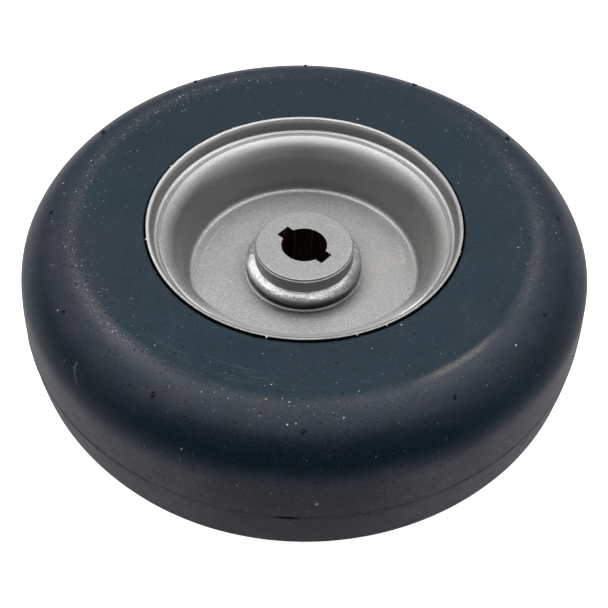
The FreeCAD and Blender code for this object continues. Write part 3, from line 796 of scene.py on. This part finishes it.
# ------------------------------------------------------------------ weld beads
def build_weld(name, node, sign, seed):
    n, m = 540, 44
    th = np.arange(n) / n * TAU
    # crown of the bead from the hub down and out to the floor
    ctrl = np.array([(20.55, 7.45), (20.95, 7.36), (21.7, 7.16), (22.5, 6.92), (23.2, 6.62), (23.85, 6.22), (24.25, 5.72), (24.45, 5.10), (24.45, 4.3), (24.28, 3.4), (24.0, 2.4), (23.75, 1.5), (23.6, 0.7), (23.5, -0.25)])
    t = np.concatenate([[0], np.cumsum(np.hypot(*np.diff(ctrl, axis=0).T))]); t /= t[-1]
    tt = np.linspace(0, 1, m)
    cr = np.interp(tt, t, ctrl[:, 0]); cz = np.interp(tt, t, ctrl[:, 1])
    ker = np.array([1, 2, 3, 2, 1.]) / 9
    for _ in range(2):
        cr = np.concatenate([cr[:2], np.convolve(cr, ker, "valid"), cr[-2:]]); cz = np.concatenate([cz[:2], np.convolve(cz, ker, "valid"), cz[-2:]])
    top = smooth_noise_ring(n, seed, [(4, 0.5), (13, 0.5), (34, 0.35)], 0.30)      # height of the bead on the hub
    wid = smooth_noise_ring(n, seed + 1, [(5, 0.5), (14, 0.5), (36, 0.25)], 0.20)   # reach of the bead
    upper = np.clip((0.52 - tt) / 0.12, 0, 1)[None, :]
    lump = value_noise2(n, m, 34, 5, seed + 2) * 0.16 + upper * (value_noise2(n, m, 84, 9, seed + 3) * 0.12 + value_noise2(n, m, 210, 22, seed + 4) * 0.055)
    # ripples left by the weld pool, bowed along the run
    ph = th[:, None] * 40 + 1.6 * (tt[None, :] - 0.3) ** 2 * 9 + smooth_noise_ring(n, seed + 6, [(6, 1.0)], 0.9)[:, None]
    rip = (np.cos(ph) * 0.5 + 0.5) ** 2 * 0.09 * upper
    bell = np.sin(np.pi * np.clip(tt, 0, 1)) ** 0.7
    w = np.clip(tt * 1.2, 0, 1)
    R = cr[None, :] + (wid[:, None] * w[None, :]) * 0.8
    Z = cz[None, :] + top[:, None] * (1 - tt)[None, :]
    # on the near right the run is fuller below and its bright crown narrower
    near_right = np.exp(-(((np.degrees(th) + 42.0 + 180.0) % 360.0 - 180.0) / 26.0) ** 2)
    Z = Z - near_right[:, None] * (1.35 * np.exp(-((tt - 0.40) / 0.17) ** 2))[None, :]
    dr, dz = np.gradient(cr), np.gradient(cz)
    L = np.hypot(dr, dz)
    nr, nz = -dz / L, dr / L
    D = (lump + rip) * bell[None, :] - 0.10
    R = R + nr[None, :] * D; Z = Z + nz[None, :] * D
    R = np.minimum(R, 24.72)
    # close the section inside the hub wall and under the floor
    Rc = np.concatenate([R, np.full((n, 1), 22.0), np.full((n, 1), 20.55)], 1)
    Zc = np.concatenate([Z, np.full((n, 1), -0.25), np.full((n, 1), -0.25)], 1) + ZF
    Zc = np.minimum(Zc, ZF + 7.3)
    TH = np.repeat(th[:, None], Rc.shape[1], 1)
    V, F = ring_grid(Rc, Zc, TH)
    sec = np.stack([Rc[0], Zc[0]], 1)
    if signed_area(sec) < 0: F = F[:, ::-1].copy()
    if sign < 0:
        V[:, 2] *= -1
        F = F[:, ::-1].copy()
    ob = mesh_object(name, V, F)
    ob.data.materials.append(PAINT_WELD)
    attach(ob, "root"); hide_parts(node)
    return ob


build_weld("weld_run_upper", "weld_bead_upper", 1, 201)
build_weld("weld_run_lower", "weld_bead_lower", -1, 251)


# ------------------------------------------------------------------ small marks
def skin(az_deg, a_deg):
    """Point and normal on the tyre's skin: a_deg is the tilt round the shoulder
    from straight up, below 0 for the flat side face (then -radius)."""
    t = math.radians(az_deg)
    if a_deg < 0:
        r = -a_deg
        k = (36.54 - MOUTH_Z) / (89.16 - MOUTH_R)
        z = MOUTH_Z + (r - MOUTH_R) * k
        nr, nz = -k / math.hypot(1, k), 1 / math.hypot(1, k)
    else:
        ang = math.asin(SH_Z / (CROWN - SH_RAD))
        cc = SH_R - (CROWN - SH_RAD) * math.cos(ang)
        a = math.pi / 2 - math.radians(a_deg)
        nr, nz = math.cos(a), math.sin(a)
        if a > ang: r, z = SH_R + SH_RAD * nr, SH_Z + SH_RAD * nz
        else: r, z = cc + CROWN * nr, CROWN * nz
    return Vector((r * math.cos(t), r * math.sin(t), z)), Vector((nr * math.cos(t), nr * math.sin(t), nz))


def within(v_):
    """Keep a lump inside the wheel's overall size."""
    z_max, r_max = tyre_hi.z * 1000.0 - 0.008, tyre_hi.x * 1000.0 - 0.06
    rr = math.hypot(v_.x, v_.y)
    k = min(1.0, r_max / rr)
    return (v_.x * k, v_.y * k, max(-z_max, min(z_max, v_.z)))


def chips(name, spots, mat, flat=0.35, seed=1, segs=7, lift=-0.05):
    """Small irregular lumps: spots are (point, normal, radius)."""
    rng = np.random.RandomState(seed)
    V, F = [], []
    for p, nrm, rad in spots:
        t = nrm.orthogonal().normalized(); b = nrm.cross(t)
        o = len(V)
        k = rng.uniform(0.6, 1.25, segs); ph = rng.uniform(0, TAU); sq = rng.uniform(0.55, 1.0)
        for lv, (q, hh) in enumerate(((1.0, -0.35), (0.92, 0.15), (0.55, 0.75))):
            for i in range(segs):
                a = ph + i / segs * TAU
                v_ = p + nrm * (rad * flat * hh + lift) + (t * math.cos(a) + b * math.sin(a) * sq) * (rad * q * k[i])
                V.append(within(v_))
        V.append(within(p + nrm * (rad * flat + lift)))
        for lv in range(2):
            for i in range(segs):
                a0, a1 = o + lv * segs + i, o + lv * segs + (i + 1) % segs
                F.append((a0, a1, a1 + segs, a0 + segs))
        top = o + 3 * segs
        for i in range(segs):
            a0, a1 = o + 2 * segs + i, o + 2 * segs + (i + 1) % segs
            F.append((a0, a1, top, top))
    me = bpy.data.meshes.new(name)
    me.from_pydata([(x * MM, y * MM, z * MM) for x, y, z in V], [], [f if f[2] != f[3] else f[:3] for f in F])
    me.polygons.foreach_set("use_smooth", [True] * len(me.polygons))
    ob = bpy.data.objects.new(name, me); SCENE.collection.objects.link(ob)
    me.materials.append(mat)
    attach(ob, "root")
    return ob


def place_marks():
    rng = random.Random(77)
    # twelve broken vent stubs on the show side, as many on the other
    az = [90.4, 60.8, 31.0, 1.4, -28.3, -58.8, -89.4, -120.1, -150.0, 179.7, 149.6, 119.9]
    a_v = math.degrees(math.asin((103.4 - SH_R) / SH_RAD))
    spots = []
    for side in (1, -1):
        for a in az:
            p, n_ = skin(a + rng.uniform(-0.3, 0.3), a_v)
            if side < 0:
                p.z *= -1; n_.z *= -1
            t = n_.orthogonal().normalized(); b = n_.cross(t)
            for k in range(4):
                q = p + t * rng.uniform(-0.55, 0.55) + b * rng.uniform(-0.55, 0.55)
                spots.append((q, n_, rng.uniform(0.45, 0.85)))
    chips("vent_stubs", spots, STUB, flat=0.95, seed=5, lift=0.02)
    # pale grit: the larger grains where they lie, then a scatter
    big = [(110.5, 5), (120, 6), (123, 7), (127.5, 6), (130.5, -85.4), (142.5, 7), (149, 1), (161.5, 9), (173.5, 7), (-167.5, 9), (-165.5, 7),
           (-157, -90.5), (-151.5, 1), (-138.5, 1), (-137.2, 2), (-134, 4), (26, 10), (11, 12), (4, 13), (-1, 9), (-97, -86.6), (-94, 1), (-104, 4),
           (-84, -74.8), (-69.5, -72.4), (-92.5, 4), (-85.5, 12), (-91, 22), (-81.5, 19)]
    spots = []
    for a, t in big:
        p, n_ = skin(a, t); spots.append((p, n_, rng.uniform(0.30, 0.46)))
    for a0, a1, cnt, lo, hi in ((100, 200, 260, -5, 9), (200, 238, 110, -4, 7), (-4, 45, 70, -6, 14), (60, 100, 26, -6, 8), (240, 300, 60, -5, 12)):
        for _ in range(cnt):
            a = rng.uniform(a0, a1); g = rng.gauss(0.5 * (lo + hi), 0.33 * (hi - lo))
            if g < 0: p, n_ = skin(a, -(91.5 + g))
            else: p, n_ = skin(a, g * 1.15)
            spots.append((p, n_, 0.10 + 0.22 * rng.random() ** 2.6))
    for _ in range(150):
        a = rng.uniform(0, 360)
        if rng.random() < 0.45: p, n_ = skin(a, -rng.uniform(67, 91))
        else: p, n_ = skin(a, rng.uniform(0, 101))
        spots.append((p, n_, 0.09 + 0.17 * rng.random() ** 3.0))
    for _ in range(130):
        c = rng.choice((258, 268, 283, 291, 300, 243, 232))
        p, n_ = skin(c + rng.gauss(0, 2.4), rng.gauss(87, 4.5)); spots.append((p, n_, 0.10 + 0.22 * rng.random() ** 2.4))
    chips("dust_grit", spots, CHIP_PALE, flat=0.4, seed=6, segs=5)
    brown = [skin(-97.5, 3), skin(-87.0, 85.5)]
    chips("rust_flecks", [(brown[0][0], brown[0][1], 0.45), (brown[1][0], brown[1][1], 0.7)], CHIP_BROWN, flat=0.4, seed=8)
    # lumps of paint on the lip, round the weld and on the floor
    up = Vector((0, 0, 1))
    spots = []
    for a in (177.2, 152.5, -167.5, -101.8, -71.7, -61.0, -17.6, -16.0, 120.0, 64.0):
        t = math.radians(a); spots.append((Vector((64.30 * math.cos(t), 64.30 * math.sin(t), Z_LIP - 0.46)), up, rng.uniform(0.52, 0.74)))
    for _ in range(34):
        t = rng.uniform(0, TAU); rr = 24.85 + abs(rng.gauss(0.0, 0.8))
        spots.append((Vector((rr * math.cos(t), rr * math.sin(t), ZF + 0.1)), up, rng.uniform(0.14, 0.36)))
    for _ in range(90):
        t = math.radians(rng.gauss(-148.0, 26.0)); rr = 24.9 + abs(rng.gauss(0.0, 1.5))
        spots.append((Vector((rr * math.cos(t), rr * math.sin(t), ZF + 0.03)), up, rng.uniform(0.09, 0.20)))
    for _ in range(26):
        t = math.radians(rng.gauss(-26.0, 9.0)); rr = 25.2 + abs(rng.gauss(0.0, 1.8))
        spots.append((Vector((rr * math.cos(t), rr * math.sin(t), ZF + 0.03)), up, rng.uniform(0.09, 0.22)))
    for a, rr in ((158.0, 48.2), (166.0, 47.8), (-170.0, 46.0), (-60.0, 29.0), (-38.0, 27.0), (20.0, 33.0), (75.0, 40.0)):
        t = math.radians(a); spots.append((Vector((rr * math.cos(t), rr * math.sin(t), ZF + 0.05)), up, rng.uniform(0.2, 0.34)))
    for _ in range(26):
        t = rng.uniform(0, TAU); rr = rng.uniform(26.5, 46.5)
        spots.append((Vector((rr * math.cos(t), rr * math.sin(t), ZF + 0.03)), up, rng.uniform(0.12, 0.24)))
    for a, z in ((-12.0, 15.6), (-20.0, 14.1), (-88.0, 17.75), (-60.0, 13.6)):
        t = math.radians(a); n_ = Vector((math.cos(t), math.sin(t), 0.2)).normalized()
        spots.append((Vector((20.8 * math.cos(t), 20.8 * math.sin(t), z)), n_, 0.3))
    chips("paint_spatter", spots, SPATTER, flat=0.8, seed=9)


place_marks()


# ------------------------------------------------------------------ stage
FLOOR_GLOW = 0.03


def stage():
    s = 4.0
    z = tyre_lo.z * 1000.0 - 0.02
    V = [(-s * 1000, -s * 1000, z), (s * 1000, -s * 1000, z), (s * 1000, s * 1000, z), (-s * 1000, s * 1000, z)]
    ob = mesh_object("floor", V, [(0, 1, 2, 3)], smooth=False)
    m = bpy.data.materials.new("floor_white"); m.use_nodes = True
    b = m.node_tree.nodes["Principled BSDF"]
    b.inputs["Base Color"].default_value = (0.50, 0.50, 0.50, 1)
    b.inputs["Roughness"].default_value = 0.9
    b.inputs["Specular IOR Level"].default_value = 0.1
    b.inputs["Emission Color"].default_value = (1, 1, 1, 1)
    # the sheet is seen evenly white, and throws only a little light back up
    lp = m.node_tree.nodes.new("ShaderNodeLightPath")
    e = m.node_tree.nodes.new("ShaderNodeMath"); e.operation = "MULTIPLY_ADD"
    m.node_tree.links.new(lp.outputs["Is Camera Ray"], e.inputs[0])
    e.inputs[1].default_value = 0.97; e.inputs[2].default_value = FLOOR_GLOW
    m.node_tree.links.new(e.outputs[0], b.inputs["Emission Strength"])
    ob.data.materials.append(m)


stage()


KEY_W_SOFT = 4.9
DOME = (0.02, 0.07, 0.25, 0.38, 0.66)      # dome brightness, a quarter of it, horizon to zenith


def area(name, loc, target, size, power, size_y=None):
    d = bpy.data.lights.new(name, "AREA")
    d.shape = "RECTANGLE" if size_y else "SQUARE"
    d.size = size
    if size_y: d.size_y = size_y
    d.energy = power
    o = bpy.data.objects.new(name, d)
    SCENE.collection.objects.link(o)
    o.location = loc
    v_ = Vector(target) - Vector(loc)
    o.rotation_euler = v_.to_track_quat("-Z", "Y").to_euler()
    return o


# two large softboxes above and behind, left and right
for side in (-1, 1):
    e, a = math.radians(62.0), math.radians(90.0 - 45.0 * side)
    area("softbox_left" if side < 0 else "softbox_right",
         (1.6 * math.cos(e) * math.cos(a), 1.6 * math.cos(e) * math.sin(a), 1.6 * math.sin(e)),
         (0, 0, 0), 0.64, KEY_W_SOFT)


def world():
    """A soft white dome: bright above and behind, falling to dark on the near side."""
    w = bpy.data.worlds.new("studio"); SCENE.world = w; w.use_nodes = True
    nt = w.node_tree
    bg = nt.nodes["Background"]
    co = nt.nodes.new("ShaderNodeTexCoord")
    sep = nt.nodes.new("ShaderNodeSeparateXYZ")
    nt.links.new(co.outputs["Generated"], sep.inputs[0])
    up = nt.nodes.new("ShaderNodeValToRGB")
    up.color_ramp.interpolation = "EASE"
    el = up.color_ramp.elements
    el[0].position = 0.0; el[0].color = (DOME[0],) * 3 + (1,)
    el[1].position = 1.0; el[1].color = (DOME[4],) * 3 + (1,)
    for p, v in ((0.21, DOME[1]), (0.59, DOME[2]), (0.88, DOME[3])):
        k = el.new(p); k.color = (v,) * 3 + (1,)
    nt.links.new(sep.outputs[2], up.inputs[0])
    mr = nt.nodes.new("ShaderNodeMapRange")
    mr.inputs["From Min"].default_value = -0.62; mr.inputs["From Max"].default_value = -0.18
    nt.links.new(sep.outputs[1], mr.inputs["Value"])
    mul = nt.nodes.new("ShaderNodeMath"); mul.operation = "MULTIPLY"
    nt.links.new(mr.outputs[0], mul.inputs[0]); mul.inputs[1].default_value = 4.0
    nt.links.new(up.outputs[0], bg.inputs[0])
    nt.links.new(mul.outputs[0], bg.inputs[1])
    # the room beyond the sheet is seen as the same plain white
    plain = nt.nodes.new("ShaderNodeBackground")
    plain.inputs[0].default_value = (1, 1, 1, 1); plain.inputs[1].default_value = 1.0
    lp = nt.nodes.new("ShaderNodeLightPath")
    mx = nt.nodes.new("ShaderNodeMixShader")
    nt.links.new(lp.outputs["Is Camera Ray"], mx.inputs[0])
    nt.links.new(bg.outputs[0], mx.inputs[1]); nt.links.new(plain.outputs[0], mx.inputs[2])
    nt.links.new(mx.outputs[0], nt.nodes["World Output"].inputs[0])


world()


# ------------------------------------------------------------------ camera
def camera():
    U = 64.0 * MM
    psi, phi, rho = math.radians(0.07550624), math.radians(48.76361028), math.radians(1.1255167)
    d = Vector((math.sin(psi) * math.cos(phi), math.cos(psi) * math.cos(phi), -math.sin(phi)))
    r = Vector((math.cos(psi), -math.sin(psi), 0.0))
    u = r.cross(d)
    r2 = r * math.cos(rho) + u * math.sin(rho)
    u2 = u * math.cos(rho) - r * math.sin(rho)
    cam = bpy.data.cameras.new("camera")
    cam.sensor_fit = "HORIZONTAL"; cam.sensor_width = 36.0
    cam.lens = 1047.70597 / 608.0 * 36.0
    cam.clip_start = 0.01; cam.clip_end = 30.0
    ob = bpy.data.objects.new("camera", cam)
    SCENE.collection.objects.link(ob)
    M = Matrix((
        (r2.x, u2.x, -d.x, 0.0),
        (r2.y, u2.y, -d.y, -4.79690632 * U),
        (r2.z, u2.z, -d.z, Z_LIP * MM + 4.63535225 * U),
        (0, 0, 0, 1)))
    ob.matrix_world = M
    SCENE.camera = ob


camera()
SCENE.view_settings.view_transform = "Standard"
SCENE.view_settings.look = "None"
SCENE.view_settings.exposure = 0.0
SCENE.view_settings.gamma = 1.0
